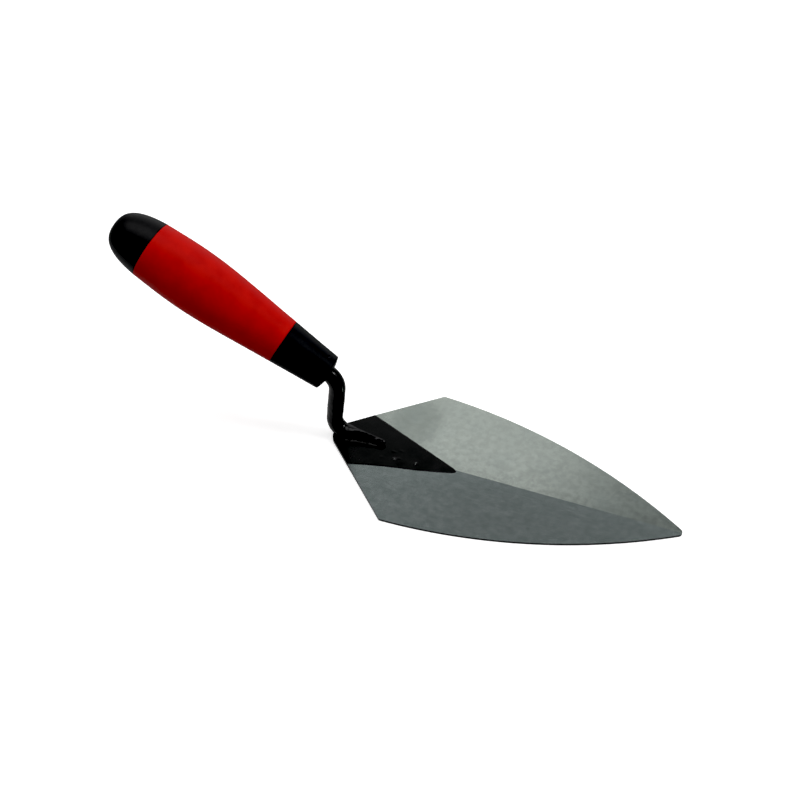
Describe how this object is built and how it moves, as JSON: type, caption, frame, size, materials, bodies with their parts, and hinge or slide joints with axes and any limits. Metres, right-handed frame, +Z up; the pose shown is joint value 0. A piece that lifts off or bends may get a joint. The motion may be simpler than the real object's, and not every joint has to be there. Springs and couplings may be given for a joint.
{
  "type": "brick trowel",
  "caption": "Brick trowel with a pointed kite-shaped ground steel blade, a welded gooseneck shank and a round soft-grip handle.",
  "frame": {"origin": "on the flat underside of the blade, on its centreline, halfway between the sharp corner of the heel and the tip", "axes": "+X points along the blade towards its tip, +Z is up, away from the surface the blade lies on, and +Y is to the left of a user who holds the handle and looks towards the tip"},
  "size_m": [0.2856, 0.0882, 0.106],
  "materials": {
    "ground_steel": "satin",
    "black_lacquer": "gloss",
    "lacquered_weld": "satin",
    "core_plastic": "satin",
    "collar_black": "satin",
    "grip_red": "satin",
    "cap_black": "satin"
  },
  "bodies": {
    "root": {"blade": "ground_steel", "shank": "black_lacquer", "weld_bead_right": "lacquered_weld", "weld_bead_left": "lacquered_weld", "handle_core": "core_plastic", "front_collar": "collar_black", "grip_sleeve": "grip_red", "butt_cap": "cap_black"}
  },
  "joints": []
}
